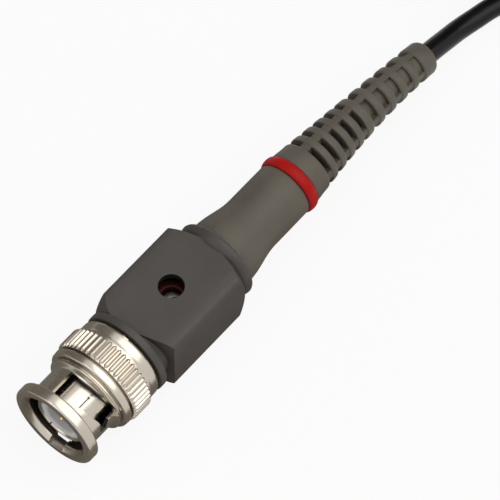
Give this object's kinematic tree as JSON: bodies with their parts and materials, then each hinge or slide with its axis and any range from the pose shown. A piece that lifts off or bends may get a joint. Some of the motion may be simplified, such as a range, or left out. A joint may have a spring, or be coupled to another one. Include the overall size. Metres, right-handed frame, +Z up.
{
  "type": "oscilloscope probe",
  "caption": "Bayonet-plug oscilloscope probe with compensation box, slotted strain-relief boot, hanked lead, and hand probe with range switch and sprung hook.",
  "frame": {"origin": "front end of the plug's slotted outer contact, on the plug's axis", "axes": "X along the plug's axis from its mouth toward the lead, Z up through the box's trimmer hole, Y across the box"},
  "size_m": [0.3443, 0.0224, 0.0269],
  "materials": {
    "nickel": "satin bright nickel plate",
    "spring_steel": "plain",
    "gold": "gold plated",
    "white_insulator": "smooth moulded",
    "black_rubber": "matt",
    "box_plastic": "fine matt moulded",
    "boot_rubber": "matt moulded",
    "red_plastic": "glossy moulded",
    "lead_jacket": "glossy extruded",
    "tie_fabric": "woven hook and loop strap",
    "board_laminate": "lacquered",
    "chassis_brass": "tinned",
    "ceramic": "glazed",
    "chip_black": "plain",
    "resistor_blue": "lacquered",
    "switch_grey": "moulded",
    "clip_plastic": "satin moulded"
  },
  "bodies": {
    "probe": {"wave_washer": "spring_steel", "outer_contact": "nickel", "contact_insulator": "white_insulator", "centre_pin": "gold", "plug_body": "nickel", "seal_gasket": "black_rubber", "comp_box_shell": "box_plastic", "chassis_frame": "chassis_brass", "circuit_board": "board_laminate", "trimmer_body": "red_plastic", "chip_resistor": "chip_black", "chip_capacitor": "ceramic", "crimp_ferrule": "nickel", "lead_inner_end": "lead_jacket", "cable_boot": "boot_rubber", "boot_marker_ring": "red_plastic", "lead_box_stretch": "lead_jacket", "lead_hank": "lead_jacket", "lead_head_stretch": "lead_jacket", "hank_tie": "tie_fabric", "head_boot": "boot_rubber", "head_marker_ring": "red_plastic", "head_lead_end": "lead_jacket", "grip_shell_upper": "box_plastic", "grip_shell_lower": "box_plastic", "divider_board": "board_laminate", "divider_resistor": "resistor_blue", "finger_guard": "box_plastic", "nose_sleeve": "box_plastic", "ground_barrel": "nickel", "tip_insulator": "white_insulator", "probe_tip": "gold", "hook_housing": "clip_plastic", "hook_spring": "spring_steel", "hook_wire": "nickel"},
    "nut_carrier": {"thrust_washer": "spring_steel"},
    "nut": {"coupling_nut": "nickel", "retaining_ring": "spring_steel"},
    "trimmer": {"trimmer_screw": "nickel"},
    "switch": {"range_switch": "switch_grey"},
    "hook_slide": {"hook_sleeve": "clip_plastic"}
  },
  "joints": [
    {"name": "nut_push", "type": "slide", "parent": "probe", "child": "nut_carrier", "axis": [-1, 0, 0], "range_m": [0, 0.0008], "stiffness_N_per_m": 8000, "springref_m": -0.0002, "deforming": ["wave_washer"]},
    {"name": "nut_turn", "type": "hinge", "parent": "nut_carrier", "child": "nut", "pos_m": [0, 0, 0], "axis": [1, 0, 0], "continuous": true},
    {"name": "trimmer_turn", "type": "hinge", "parent": "probe", "child": "trimmer", "pos_m": [0.02365, 0, 0], "axis": [0, 0, 1], "continuous": true},
    {"name": "range_slide", "type": "slide", "parent": "probe", "child": "switch", "axis": [1, 0, 0], "range_m": [0, 0.0026]},
    {"name": "hook_pull", "type": "slide", "parent": "probe", "child": "hook_slide", "axis": [-1, 0, 0], "range_m": [0, 0.006], "stiffness_N_per_m": 250, "springref_m": -0.004, "deforming": ["hook_spring"]}
  ]
}
